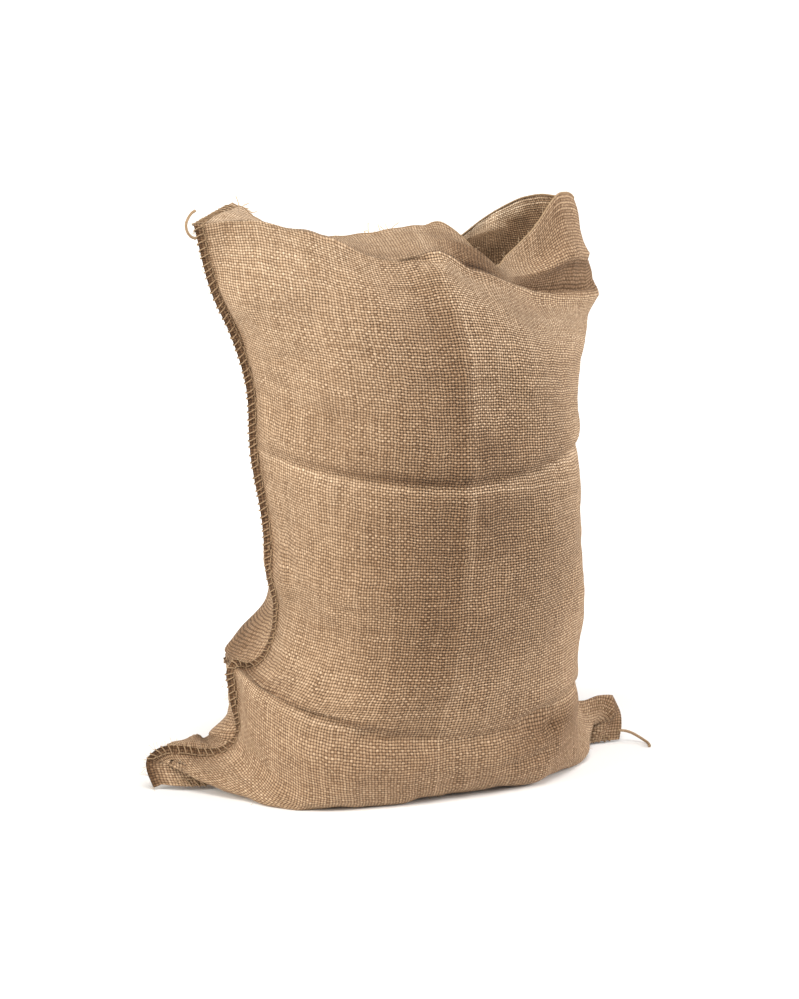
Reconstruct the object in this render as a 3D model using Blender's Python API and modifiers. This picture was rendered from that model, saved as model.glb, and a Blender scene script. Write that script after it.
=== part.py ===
"""A jute sack-race bag standing open on its base, as separate closed solids.

Metres, +Z up. The sewn side is towards -X, the folded side towards +X and the front towards -Y.
The bag is one sheet of cloth. Across it, a station runs from 0 at the sewn edge, through 250 at
the middle of the front and 500 at the folded side, to 1000 at the sewn edge again. Up it, a level
runs from 0 at the bottom edge, through 700 at the top crease, to 800 at the mouth.
"""

import bpy
import numpy as np
from mathutils import Vector

MM = 0.001

# Driving sizes, mm
WALL = 1.5
LAYER_GAP = 0.6
SEAM_WIDTH = 9.5
SEAM_REACH = 3.0
THREAD_WALL = 1.0
CLEARANCE = 0.7
NEEDLE_INSET = 5.0
NEEDLE_DIAMETER = 1.2
TAIL_DIAMETER = 2.8
YARN_DIAMETER = 3.0
HALF_SEAM = WALL + LAYER_GAP / 2
FOOT_PRESS = 3.0
FOOT_PRESS_BELOW = 24.0
COLUMNS_PER_QUARTER = 9
LEVELS = (
    0, 12, 40, 72, 105, 126, 146, 166, 188, 208, 222, 240, 265, 300, 340, 400, 460, 520, 575,
    615, 635, 655, 680, 692, 700, 708, 722, 745, 770, 800,
)
BLEND_FROM = 600
CREASE_LEVEL = 700
MOUTH_LEVEL = 800

# Edges of the body as (level, x, y, z) in mm
SEWN_SIDE = (
    (0, -244, 6, 2.5), (12, -249, 6, 15), (28, -251, 4, 32), (45, -238, 4, 43),
    (66, -218, 4, 43), (89, -195, 4, 37), (109, -176, 5, 36), (123, -164, 6, 42),
    (136, -159, 5, 53), (163, -164, 2, 77), (185, -168, 0, 99), (205, -170, -2, 117),
    (218, -163, -2, 126), (238, -147, 2, 120), (256, -131, 5, 128), (272, -123, 6, 143),
    (304, -120, 2, 176), (345, -128, 0, 212), (380, -131, 0, 256), (450, -143, 0, 330),
    (520, -147, 0, 400), (575, -162, 0, 450), (615, -178, 0, 486), (700, -197, 0, 558),
)
FRONT_MIDDLE = (
    (0, 0, 0, 2.5), (12, 0, 0, 14.5), (40, 2, -32, 0), (105, 4, -100, 0), (126, 4, -120, 6),
    (160, 2, -140, 30), (208, 2, -147, 76), (260, 12, -148, 125), (340, 24, -144, 200),
    (455, 33, -134, 308), (560, 36, -122, 410), (640, 28, -98, 486), (700, 15, -72, 533),
)
FOLDED_SIDE = (
    (0, 245, -8, 2.5), (12, 247, -8, 15), (28, 247, -2, 30), (48, 234, 4, 43), (80, 208, 4, 46),
    (120, 186, 4, 52), (160, 182, 3, 66), (208, 186, 2, 88), (260, 188, 2, 130), (340, 193, 2, 200),
    (455, 192, 2, 294), (540, 192, 2, 360), (600, 191, 4, 400), (650, 202, 8, 436),
    (700, 224, 14, 463),
)
BACK_MIDDLE = (
    (0, 0, 0, 2.5), (12, 0, 0, 14.5), (40, 2, 32, 0), (105, 4, 104, 0), (126, 4, 124, 6),
    (160, 2, 142, 30), (208, 4, 148, 76), (260, 12, 148, 125), (340, 24, 144, 200),
    (455, 30, 136, 304), (560, 32, 128, 404), (640, 26, 112, 470), (700, 20, 95, 506),
)

# How far each quarter's corner leans in from its side, by level
FRONT_LEFT_LEAN = ((0, 0.5), (40, 0.1), (105, 0.05), (160, 0.08), (300, 0.05), (700, 0.2))
BACK_LEFT_LEAN = ((0, 0.5), (140, 0.15), (200, -0.1), (270, -0.15), (340, 0.05), (700, 0.2))
RIGHT_LEAN = ((0, 0.5), (60, 0.1), (140, 0.02), (700, 0.02))
FULLNESS = ((0, 0.8), (60, 1.4), (130, 1.5), (208, 1.1), (300, 0.9), (700, 0.75))

# How much of its side's height that corner has, by level
CORNER_RISE = ((0, 0.35), (30, -0.1), (126, -0.2), (208, 0.2), (300, 0.35), (700, 0.35))

# The bag above its body as (station, x, y, z) in mm
TOP_CREASE = (
    (0, -197, 0, 558), (60, -152, -28, 565), (125, -97, -52, 552), (190, -38, -66, 529),
    (250, 15, -72, 533), (290, 45, -72, 523), (330, 90, -64, 497), (370, 125, -50, 482),
    (440, 188, -25, 467), (500, 226, 14, 463), (560, 205, 70, 470), (625, 150, 102, 480),
    (700, 75, 102, 490), (750, 20, 80, 500), (810, -40, 40, 510), (875, -100, 0, 531),
    (940, -155, -8, 549), (1000, -197, 0, 558),
)
MOUTH_EDGE = (
    (0, -138, 70, 564), (60, -105, 58, 544), (125, -72, 42, 534), (190, -25, 22, 535),
    (230, 8, 5, 541), (260, 32, -3, 543), (290, 53, -10, 545), (312, 72, -26, 528),
    (335, 91, -40, 508), (362, 111, -30, 516), (395, 143, -15, 537), (430, 174, 6, 564),
    (455, 190, 18, 564), (480, 204, 32, 556), (500, 204, 48, 554), (530, 190, 66, 555),
    (560, 176, 84, 551), (600, 160, 100, 541), (640, 140, 110, 527), (690, 112, 112, 508),
    (750, 62, 106, 490), (810, 4, 92, 480), (875, -55, 80, 497), (940, -100, 72, 530),
    (1000, -138, 70, 564),
)

TAIL_PATHS = {
    "side_seam_tail": (
        (-197, -7, 546), (-202, -9, 548), (-206, -10, 553), (-207, -9, 560), (-204, -7, 566),
        (-200, -5, 570), (-196, -4, 572),
    ),
    "bottom_seam_tail": (
        (243, -12, 13.5), (250, -13, 12.5), (256, -15, 10.5), (262, -18, 7), (267, -22, 3.6),
        (269, -29, 1.9), (267, -37, 1.7),
    ),
}
YARN_PATH = ((-133, 73, 567), (-128, 72, 571), (-122, 71, 572), (-116, 69, 571))

JUTE = (0.47, 0.31, 0.17)
THREAD = (0.55, 0.40, 0.24)


def clear_scene():
    for thing in list(bpy.data.objects):
        bpy.data.objects.remove(thing, do_unlink=True)


def new_collection(name):
    collection = bpy.data.collections.new(name)
    bpy.context.scene.collection.children.link(collection)
    return collection


def material(name, colour, roughness):
    made = bpy.data.materials.new(name)
    made.use_nodes = True
    shader = made.node_tree.nodes["Principled BSDF"]
    shader.inputs["Base Color"].default_value = (*colour, 1.0)
    shader.inputs["Roughness"].default_value = roughness
    shader.inputs["Metallic"].default_value = 0.0
    return made


def curve_through(keys, at):
    """Points of a smooth curve through (position, x, y, z) keys."""
    keys = np.array(keys, float)
    where, points = keys[:, 0], keys[:, 1:]
    gaps = np.diff(where)[:, None]
    slopes = np.diff(points, axis=0) / gaps
    tangents = np.concatenate([slopes[:1], slopes])
    tangents[1:-1] = (slopes[:-1] * gaps[1:] + slopes[1:] * gaps[:-1]) / (gaps[1:] + gaps[:-1])
    at = np.clip(np.asarray(at, float), where[0], where[-1])
    i = np.clip(np.searchsorted(where, at, side="right") - 1, 0, len(gaps) - 1)
    gap = gaps[i]
    u = (at - where[i])[:, None] / gap
    return (
        (2 * u**3 - 3 * u**2 + 1) * points[i]
        + (u**3 - 2 * u**2 + u) * gap * tangents[i]
        + (3 * u**2 - 2 * u**3) * points[i + 1]
        + (u**3 - u**2) * gap * tangents[i + 1]
    )


def unit(vectors):
    return vectors / np.linalg.norm(vectors, axis=-1, keepdims=True)


def value_at(pairs, at):
    return np.interp(at, [pair[0] for pair in pairs], [pair[1] for pair in pairs])


def smooth_step(share):
    share = min(max(share, 0.0), 1.0)
    return share * share * (3 - 2 * share)


def quarter(side, middle, lean, fullness, rise):
    """A quarter of a section from its side to its middle, evenly spaced along its length."""
    corner = side + (middle - side) * lean
    corner[1] = middle[1]
    corner[2] = rise * side[2] + (1 - rise) * middle[2]
    u = np.linspace(0, 1, 64)[:, None]
    weights = (1 - u) ** 2, 2 * u * (1 - u) * fullness, u**2
    points = (weights[0] * side + weights[1] * corner + weights[2] * middle) / sum(weights)
    steps = np.linalg.norm(np.diff(points, axis=0), axis=1)
    lengths = np.concatenate([[0], np.cumsum(steps)])
    at = np.linspace(0, lengths[-1], COLUMNS_PER_QUARTER + 1)
    return np.stack([np.interp(at, lengths, points[:, axis]) for axis in range(3)], axis=1)


def seam_inward(level):
    """The direction from the sewn edge into the cloth, in the XZ plane."""
    ends = curve_through(SEWN_SIDE, [max(level - 9, 0), min(level + 9, CREASE_LEVEL)])
    along = ends[1] - ends[0]
    inward = np.array([along[2], 0, -along[0]])
    return inward / np.linalg.norm(inward)


def pressed(heights):
    """Heights with the lowest few millimetres pressed flat on the ground."""
    share = np.clip(1 - heights / FOOT_PRESS_BELOW, 0, 1)
    return np.maximum(heights - FOOT_PRESS * share, 0.0)


def body_ring(level):
    """One section of the cloth's outer face below the top crease, from the sewn edge round."""
    side, front, fold, back = (
        curve_through(keys, [level])[0]
        for keys in (SEWN_SIDE, FRONT_MIDDLE, FOLDED_SIDE, BACK_MIDDLE)
    )
    fullness = value_at(FULLNESS, level)
    right_lean = value_at(RIGHT_LEAN, level)
    rise = value_at(CORNER_RISE, level)
    root = side + seam_inward(level) * SEAM_WIDTH
    half = np.array([0, HALF_SEAM, 0])
    spread = half if level <= 12 else 0 * half
    ring = np.concatenate([
        [side - half],
        quarter(root - half, front - spread, value_at(FRONT_LEFT_LEAN, level), fullness, rise),
        quarter(fold - half, front - spread, right_lean, fullness, rise)[::-1][1:],
        [fold + np.array([HALF_SEAM, 0, 0])],
        quarter(fold + half, back + spread, right_lean, fullness, rise)[:-1],
        quarter(root + half, back + spread, value_at(BACK_LEFT_LEAN, level), fullness, rise)[::-1],
        [side + half],
    ])
    if level >= 40:
        ring[:, 2] = pressed(ring[:, 2])
    return ring


def upper_ring(keys, along_seam):
    """The top crease or the mouth edge, sampled at the same stations as a body ring."""
    columns = 2 * COLUMNS_PER_QUARTER
    front = np.linspace(SEAM_WIDTH, 498, columns + 1)
    back = np.linspace(502, 1000 - SEAM_WIDTH, columns + 1)
    ring = curve_through(keys, np.concatenate([[0], front, [500], back, [1000]]))
    tip = ring[0]
    inward = unit((ring[3] + ring[-4]) / 2 - tip)
    across = unit(np.cross(along_seam, inward)) * HALF_SEAM
    ring[0], ring[-1] = tip - across, tip + across
    root = tip + inward * SEAM_WIDTH
    ring[1], ring[-2] = root - across, root + across
    return ring


def sheet_rings():
    """Every section of the cloth's outer face, from the bottom edge to the mouth."""
    ends = curve_through(SEWN_SIDE, [CREASE_LEVEL - 60, CREASE_LEVEL])
    below = unit(ends[1] - ends[0])
    above = unit(np.array(MOUTH_EDGE[0][1:], float) - ends[1])
    crease = upper_ring(TOP_CREASE, below + above)
    mouth = upper_ring(MOUTH_EDGE, above)
    lift = crease - body_ring(CREASE_LEVEL)
    rings = []
    for level in LEVELS:
        if level <= CREASE_LEVEL:
            share = (level - BLEND_FROM) / (CREASE_LEVEL - BLEND_FROM)
            rings.append(body_ring(level) + lift * smooth_step(share))
        else:
            share = (level - CREASE_LEVEL) / (MOUTH_LEVEL - CREASE_LEVEL)
            rings.append(crease * (1 - share) + mouth * share)
    return np.array(rings)


def mesh_object(name, points, faces, collection, surface):
    mesh = bpy.data.meshes.new(name)
    mesh.from_pydata([tuple(point) for point in np.asarray(points) * MM], [], faces)
    mesh.validate()
    mesh.update()
    made = bpy.data.objects.new(name, mesh)
    made.data.materials.append(surface)
    collection.objects.link(made)
    return made


def loft_faces(rows, columns, wraps):
    """Quads between neighbouring rings of the same number of points."""
    last = columns if wraps else columns - 1
    faces = []
    for r in range(rows - 1):
        for c in range(last):
            n = (c + 1) % columns
            faces.append((r * columns + c, r * columns + n, (r + 1) * columns + n, (r + 1) * columns + c))
    return faces


def add_cloth(rings, collection, surface):
    """The bag: its outer face, closed along the bottom edge and thickened inwards."""
    rows, columns = rings.shape[:2]
    faces = loft_faces(rows, columns, True)
    half = columns // 2
    for c in range(half - 1):
        faces.append((c + 1, c, columns - 1 - c, columns - 2 - c))
    faces.append((half, half - 1, half + 1))
    cloth = mesh_object("sack_cloth", rings.reshape(-1, 3), faces, collection, surface)
    wall = cloth.modifiers.new("wall", "SOLIDIFY")
    wall.thickness = WALL * MM
    wall.offset = -1.0
    wall.use_even_offset = True
    wall.thickness_clamp = 0.0
    return cloth


def seam_frame(front_tip, back_tip, front_root, back_root):
    """Along a doubled edge: its middle line, the way into the cloth and the way to the back layer."""
    edge = (front_tip + back_tip) / 2
    inward = unit((front_root + back_root) / 2 - edge)
    return edge, inward, unit(back_tip - front_tip)


def seam_channel(edge, inward, across):
    """A U-shaped wrap of thread over a doubled cloth edge."""
    near = HALF_SEAM + CLEARANCE
    far = near + THREAD_WALL
    section = (
        (SEAM_REACH, -near), (-CLEARANCE, -near), (-CLEARANCE, near), (SEAM_REACH, near),
        (SEAM_REACH, far), (-CLEARANCE - THREAD_WALL, far), (-CLEARANCE - THREAD_WALL, -far),
        (SEAM_REACH, -far),
    )
    points = [
        edge[i] + inward[i] * depth + across[i] * side
        for i in range(len(edge))
        for depth, side in section
    ]
    columns = len(section)
    faces = loft_faces(len(edge), columns, True)
    last = (len(edge) - 1) * columns
    faces.append(tuple(range(columns))[::-1])
    faces.append(tuple(last + c for c in range(columns)))
    return points, faces


def rod(name, path, diameter, collection, surface, tip_share=1.0):
    """A round thread through the given points, with filled ends."""
    data = bpy.data.curves.new(name, "CURVE")
    data.dimensions = "3D"
    data.bevel_depth = diameter * MM / 2
    data.bevel_resolution = 2
    data.use_fill_caps = True
    spline = data.splines.new("POLY")
    spline.points.add(len(path) - 1)
    for i, place in enumerate(path):
        spline.points[i].co = (*(Vector(place) * MM), 1.0)
        spline.points[i].radius = 1.0 + (tip_share - 1.0) * i / (len(path) - 1)
    made = bpy.data.objects.new(name, data)
    data.materials.append(surface)
    collection.objects.link(made)
    return made


def fine_path(keys, spacing):
    """A smooth path through the points, cut into even steps."""
    keys = np.array(keys, float)
    steps = np.linalg.norm(np.diff(keys, axis=0), axis=1)
    where = np.concatenate([[0], np.cumsum(steps)])
    count = max(int(where[-1] / spacing), 2)
    return curve_through(np.column_stack([where, keys]), np.linspace(0, where[-1], count + 1))


def add_seam(prefix, frame, collection, surface):
    edge, inward, across = frame
    points, faces = seam_channel(edge, inward, across)
    mesh_object(prefix + "_looper_thread", points, faces, collection, surface)
    stand_off = HALF_SEAM + 2 * CLEARANCE + NEEDLE_DIAMETER / 2
    line = edge + inward * NEEDLE_INSET - across * stand_off
    rod(prefix + "_needle_thread", line, NEEDLE_DIAMETER, collection, surface)


def side_seam(rings, collection, surface):
    rows = rings[2:]
    frame = seam_frame(rows[:, 0], rows[:, -1], rows[:, 1], rows[:, -2])
    add_seam("side_seam", frame, collection, surface)


def bottom_seam(rings, collection, surface):
    """Along the edge under the bag, from the last column beside each end."""
    front = slice(COLUMNS_PER_QUARTER * 2, 2, -1)
    back = slice(-1 - COLUMNS_PER_QUARTER * 2, -3)
    tip, root = rings[0], rings[1]
    frame = seam_frame(tip[front], tip[back], root[front], root[back])
    add_seam("bottom_seam", frame, collection, surface)


def main():
    clear_scene()
    collection = new_collection("sack_race_bag")
    rings = sheet_rings()
    add_cloth(rings, collection, material("jute_cloth", JUTE, 0.92))
    side_seam(rings, collection, material("side_seam_thread", THREAD, 0.9))
    bottom_seam(rings, collection, material("bottom_seam_thread", THREAD, 0.9))
    for name, path in TAIL_PATHS.items():
        route = fine_path(path, 2.5 * TAIL_DIAMETER)
        rod(name, route, TAIL_DIAMETER, collection, material(name, THREAD, 0.9))
    rod("mouth_corner_yarns", YARN_PATH, YARN_DIAMETER, collection, material("yarn", JUTE, 0.9), 0.5)


main()
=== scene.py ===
"""A jute sack-race bag standing open on a pale floor, in soft studio light.

The cloth is one sheet. Across it, a station runs in millimetres from 0 at the sewn edge, through
250 at the middle of the front and 500 at the folded side, to 1000 at the sewn edge again. Up it,
a level runs from 0 at the bottom edge, through 700 at the top crease, to 800 at the mouth.
"""

import math

import bpy
import numpy as np
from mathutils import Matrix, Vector


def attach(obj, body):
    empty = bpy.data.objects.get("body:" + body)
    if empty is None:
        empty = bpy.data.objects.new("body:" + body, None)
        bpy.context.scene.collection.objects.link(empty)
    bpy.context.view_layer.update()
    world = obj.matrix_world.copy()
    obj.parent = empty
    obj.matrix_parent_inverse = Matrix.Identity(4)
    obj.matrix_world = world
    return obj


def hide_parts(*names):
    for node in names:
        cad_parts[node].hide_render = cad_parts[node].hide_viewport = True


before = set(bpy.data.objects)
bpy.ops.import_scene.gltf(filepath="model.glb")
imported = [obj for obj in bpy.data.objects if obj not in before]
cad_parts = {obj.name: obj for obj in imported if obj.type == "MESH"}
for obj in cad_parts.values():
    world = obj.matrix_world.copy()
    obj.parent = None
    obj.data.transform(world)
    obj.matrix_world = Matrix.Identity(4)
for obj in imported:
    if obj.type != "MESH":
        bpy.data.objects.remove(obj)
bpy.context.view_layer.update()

MM = 0.001

# The cloth and its sewing, mm
SHEET_WIDTH = 1000
SHEET_LENGTH = 800
FOLD_STATION = 500
CREASE_LEVEL = 700
BLEND_FROM = 600
SEAM_WIDTH = 8.0
HALF_SEAM = 1.1
SELVEDGE_FROM = 780
SELVEDGE_STRIPES_OVER = 2
WARP_PITCH = 3.0
WEFT_PITCH = 2.8
STITCH_PITCH = 7.0
STITCH_DIAMETER = 1.2
STITCH_UNEVENNESS = 0.1
STITCH_DEPTH_SCALE = 0.88
RIM_DIAMETER = 1.7
TAIL_DIAMETER = 2.8
YARN_DIAMETER = 0.9
FIBRE_DIAMETER = 0.25
FIBRE_LENGTHS = (2.5, 7.0)
FIBRES = 900

# The shares of the hairs that stand on the sewn edge and on the mouth's edge
FIBRES_ON_SEAM = 0.4
FIBRES_ON_MOUTH = 0.15

# Where cut yarns stand out of the mouth's edge: first and last station, how many, length in mm
FRAYS = ((2, 30, 18, 12), (196, 222, 14, 10))

# The floor, and how fine the sheet is, mm
FLOOR_GAP = 0.2
FLOOR_REACH = 20000
FIRST_ROW = 12
ROW_STEP = 4.0
COLUMNS_PER_QUARTER = 62
QUARTER_SAMPLES = 160

# The camera: angles in degrees, distance and sideways shifts in m, lens in mm
CAMERA_AZIMUTH = -20
CAMERA_ELEVATION = 14
CAMERA_DISTANCE = 3.6
CAMERA_LENS = 129.7
VIEW_RIGHT = 0.0095
VIEW_UP = 0.2655

# The lamps: azimuth and elevation in degrees, strength and colour
LAMPS = {
    "left_light": (-80, 26, 2.8, (1.0, 0.95, 0.87)),
    "right_light": (72, 22, 2.7, (1.0, 0.97, 0.95)),
    "top_light": (-14, 60, 1.9, (1.0, 0.98, 0.95)),
}

# How wide each lamp is in degrees, and how bright the room is as the bag sees it
SUN_SPREAD = 30
ROOM_LIGHT = 0.34

# Edges of the body as (level, x, y, z) in mm
SEWN_SIDE = (
    (0, -244, 6, 2.5), (12, -249, 6, 15), (28, -251, 4, 32), (45, -238, 4, 43),
    (66, -218, 4, 43), (89, -195, 4, 37), (109, -176, 5, 36), (123, -164, 6, 42),
    (136, -159, 5, 53), (163, -164, 2, 77), (185, -168, 0, 99), (205, -170, -2, 117),
    (218, -163, -2, 126), (238, -147, 2, 120), (256, -131, 5, 128), (272, -123, 6, 143),
    (304, -120, 2, 176), (345, -128, 0, 212), (380, -131, 0, 256), (450, -143, 0, 330),
    (520, -147, 0, 400), (575, -162, 0, 450), (615, -178, 0, 486), (700, -197, 0, 558),
)
FRONT_MIDDLE = (
    (0, 0, 0, 2.5), (12, 0, 0, 14.5), (40, 2, -32, 0), (105, 4, -100, 0), (126, 4, -120, 6),
    (160, 2, -140, 30), (208, 2, -147, 76), (260, 12, -148, 125), (340, 24, -144, 200),
    (455, 33, -134, 308), (560, 36, -122, 410), (640, 28, -98, 486), (700, 15, -72, 533),
)
FOLDED_SIDE = (
    (0, 245, -8, 2.5), (12, 247, -8, 15), (28, 247, -2, 30), (48, 234, 4, 43), (80, 208, 4, 46),
    (120, 186, 4, 52), (160, 182, 3, 66), (208, 186, 2, 88), (260, 188, 2, 130), (340, 193, 2, 200),
    (455, 192, 2, 294), (540, 192, 2, 360), (600, 191, 4, 400), (650, 202, 8, 436),
    (700, 224, 14, 463),
)
BACK_MIDDLE = (
    (0, 0, 0, 2.5), (12, 0, 0, 14.5), (40, 2, 32, 0), (105, 4, 104, 0), (126, 4, 124, 6),
    (160, 2, 142, 30), (208, 4, 148, 76), (260, 12, 148, 125), (340, 24, 144, 200),
    (455, 30, 136, 304), (560, 32, 128, 404), (640, 26, 112, 470), (700, 20, 95, 506),
)

# How far each quarter's corner leans in from its side, by level
FRONT_LEFT_LEAN = ((0, 0.5), (40, 0.1), (105, 0.05), (160, 0.08), (300, 0.05), (700, 0.2))
BACK_LEFT_LEAN = ((0, 0.5), (140, 0.15), (200, -0.1), (270, -0.15), (340, 0.05), (700, 0.2))
RIGHT_LEAN = ((0, 0.5), (60, 0.1), (140, 0.02), (700, 0.02))
FULLNESS = ((0, 0.8), (60, 1.4), (130, 1.5), (208, 1.1), (300, 0.9), (700, 0.75))

# How much of its side's height that corner has, by level
CORNER_RISE = ((0, 0.35), (30, -0.1), (126, -0.2), (208, 0.2), (300, 0.35), (700, 0.35))

# How far the sewn edge is turned to point backwards, in degrees, by level
SEAM_TURN = (
    (0, 0), (50, 10), (100, 50), (150, 55), (190, 30), (205, 25), (235, 60), (280, 70), (340, 55),
    (400, 25), (480, 10), (600, 0),
)

# The bag above its body as (station, x, y, z) in mm
TOP_CREASE = (
    (0, -197, 0, 558), (60, -152, -28, 565), (125, -97, -52, 552), (190, -38, -66, 529),
    (250, 15, -72, 533), (290, 45, -72, 523), (330, 90, -64, 497), (370, 125, -50, 482),
    (440, 188, -25, 467), (500, 226, 14, 463), (560, 205, 70, 470), (625, 150, 102, 480),
    (700, 75, 102, 490), (750, 20, 80, 500), (810, -40, 40, 510), (875, -100, 0, 531),
    (940, -155, -8, 549), (1000, -197, 0, 558),
)
MOUTH_EDGE = (
    (0, -138, 70, 564), (60, -105, 58, 544), (125, -72, 42, 534), (190, -25, 22, 535),
    (230, 8, 5, 541), (260, 32, -3, 543), (290, 53, -10, 545), (312, 72, -26, 528),
    (335, 91, -40, 508), (362, 111, -30, 516), (395, 143, -15, 537), (430, 174, 6, 564),
    (455, 190, 18, 564), (480, 204, 32, 556), (500, 204, 48, 554), (530, 190, 66, 555),
    (560, 176, 84, 551), (600, 160, 100, 541), (640, 140, 110, 527), (690, 112, 112, 508),
    (750, 62, 106, 490), (810, 4, 92, 480), (875, -55, 80, 497), (940, -100, 72, 530),
    (1000, -138, 70, 564),
)

# Where the cloth stands away from that smooth shape: (station, level) of the middle, how far it
# reaches across and up, and the (x, y, z) move there, in mm
BULGES = (
    ((912, 256), (62, 24), (-22, 4, -4)),
    ((940, 190), (44, 20), (22, 0, 0)),
    ((950, 134), (44, 16), (-24, 0, 0)),
    ((922, 104), (50, 22), (-22, -4, 4)),
    ((946, 76), (36, 36), (-1, 10, 20)),
    ((45, 0), (36, 26), (0, -16, 0)),
    ((955, 0), (36, 26), (0, -16, 0)),
    ((120, 112), (60, 36), (-3, -13, -3)),
    ((432, 92), (46, 40), (8, -9, -6)),
    ((75, 262), (60, 30), (-3, -5, 2)),
    ((110, 160), (70, 34), (-5, -9, 0)),
    ((95, 606), (38, 22), (2, 7, 0)),
    ((352, 201), (20, 12), (-3, 8, 0)),
    ((150, 672), (60, 22), (0, 5, 0)),
    ((300, 520), (45, 40), (-1, 5, 0)),
    ((300, 420), (40, 26), (-1, 5, 0)),
    ((430, 640), (50, 60), (4, 2, 0)),
    ((292, 700), (24, 26), (0, -2, -9)),
    ((974, 38), (22, 26), (0, 8, 9)),
    ((966, 92), (24, 24), (0, 6, 2)),
    ((950, 118), (30, 14), (-4, 4, 6)),
    ((925, 230), (44, 12), (7, 0, 0)),
    ((190, 560), (60, 90), (0, -5, 0)),
    ((350, 570), (50, 60), (0, -5, 0)),
)

# Lines where the cloth is creased or tucked: how far its flanks reach below and above the line,
# and how far it moves out (or in, below 0) and up at each (station, level) along it, in mm
CREASES = (
    ((26, 26), (
        (250, 190, 0, 0), (250, 230, 2.5, 0), (250, 400, 5, 0), (250, 560, 6, 0), (250, 700, 4, 0),
    )),
    ((24, 24), ((750, 150, 2, 0), (750, 400, 4, 0), (750, 680, 4, 0))),
    ((28, 11), (
        (4, 456, -1, 0), (30, 458, -4, 0), (60, 459, -7, 0), (112, 460, -9, 0), (215, 462, -8, 0),
        (262, 464, -8, 0), (300, 466, -9, 0), (340, 472, -12, 0), (408, 484, -11, 0),
        (460, 488, -6, 0), (496, 486, 0, 0),
    )),
    ((18, 18), (
        (500, 470, 0, 0), (620, 458, -5, 0), (750, 455, -6, 0), (900, 455, -5, 0), (985, 455, 0, 0),
    )),
    ((26, 9), (
        (10, 236, -2, 0), (40, 232, -6, 0), (80, 227, -11, 0), (112, 223, -12, 0),
        (156, 213, -9, 0), (200, 206, -7, 0), (250, 203, -6, 0), (310, 199, -9, 0),
        (353, 207, -6, 0), (400, 214, -9, 0), (460, 217, -4, 0), (490, 216, 0, 0),
    )),
    ((2, 18), (
        (14, 238, 0, 0), (45, 236, 3, -2), (112, 228, 5, -3), (170, 216, 4, -2), (225, 207, 0, 0),
    )),
    ((18, 18), (
        (500, 210, 0, 0), (620, 208, -5, 0), (750, 208, -6, 0), (880, 208, -5, 0), (960, 208, 0, 0),
    )),
    ((9, 9), ((300, 158, 0, 0), (321, 160, -4, 0), (357, 164, -7, 0), (385, 172, 0, 0))),
    ((14, 10), ((310, 180, 0, 0), (345, 186, -7, 0), (372, 192, -9, 0), (396, 198, 0, 0))),
    ((9, 9), ((4, 44, -2, 0), (22, 30, -8, 0), (45, 14, -8, 0), (66, 2, 0, 0))),
    ((6, 14), ((506, 50, 5, 0), (490, 32, 11, 0), (472, 6, 10, 0))),
    ((12, 10), ((440, 60, 0, 0), (455, 40, -5, 0), (462, 12, -4, 0))),
    ((2, 10), (
        (325, 700, 0, 0), (345, 702, 2, 1), (380, 701, 4, 1), (430, 701, 4, 1), (480, 701, 2, 0),
    )),
    ((3, 14), (
        (325, 705, 0, 0), (345, 707, -4, -1), (380, 709, -11, -3), (430, 711, -15, -4),
        (470, 712, -13, -4), (488, 712, -8, -2), (500, 712, -3, 0),
    )),
    ((7, 26), (
        (340, 714, 0, 0), (385, 734, 8, -2), (430, 740, 13, -3), (470, 742, 10, -2),
        (500, 742, 3, 0),
    )),
    ((22, 5), (
        (246, 700, 1, 0), (262, 701, 5, 1), (290, 700, 6, 1), (325, 698, 4, 0), (345, 697, 0, 0),
    )),
    ((10, 10), ((150, 600, 0, 0), (60, 560, -4, 0), (20, 548, 0, 0))),
    ((16, 12), ((30, 500, 0, 0), (90, 520, -4, 0), (170, 512, 0, 0))),
    ((14, 14), ((60, 340, 0, 0), (130, 330, -4, 0), (220, 344, 0, 0))),
    ((14, 14), ((280, 330, 0, 0), (360, 318, -4, 0), (460, 336, 0, 0))),
    ((18, 12), ((290, 560, 0, 0), (360, 540, -4, 0), (470, 560, 0, 0))),
    ((12, 16), ((60, 150, 0, 0), (110, 120, -4, 0), (200, 110, 0, 0))),
    ((10, 14), ((196, 700, 0, 0), (235, 694, -7, -2), (250, 690, -6, -2), (266, 684, 0, 0))),
    ((8, 8), ((250, 742, 0, 0), (290, 744, 3, 0), (325, 752, 3, 0), (345, 770, 0, 0))),
)

# Painted shade (below 0) and painted light: patches where the yarns are darker or brighter to
# stand in for how the lamps fall on the folds. (station, level) of the middle, how far it reaches
# across and up, and by how much
PAINTED_SHADE_AND_LIGHT = (
    ((345, 400), (85, 200), -0.15),
    ((210, 370), (130, 230), -0.16),
    ((250, 165), (240, 56), -0.18),
    ((250, 330), (240, 70), -0.08),
    ((40, 60), (40, 50), -0.14),
    ((300, 250), (60, 60), -0.06),
    ((925, 262), (56, 40), -0.5),
    ((925, 118), (56, 34), -0.42),
    ((497, 24), (14, 30), -0.3),
    ((478, 50), (46, 56), -0.1),
    ((400, 170), (80, 60), -0.26),
    ((385, 190), (50, 16), -0.16),
    ((30, 380), (50, 240), -0.05),
    ((308, 728), (26, 30), -0.4),
    ((285, 790), (40, 14), 0.16),
    ((430, 775), (56, 40), -0.38),
    ((165, 716), (50, 16), -0.18),
    ((90, 640), (80, 70), 0.14),
    ((400, 640), (60, 40), 0.1),
    ((285, 684), (40, 14), 0.18),
)

# Painted shade and light to one side of an upright crease only: (station, level) of the middle of
# its edge, how far it reaches across (below 0 to the left) and up, and by how much
FLANK_SHADE_AND_LIGHT = (
    ((256, 420), (-110, 200), -0.22),
    ((256, 590), (-50, 80), -0.16),
    ((258, 496), (46, 20), -0.34),
    ((258, 428), (70, 36), -0.24),
    ((256, 320), (60, 60), -0.1),
    ((258, 610), (70, 80), 0.06),
)
FLANK_EDGE = 5
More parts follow.
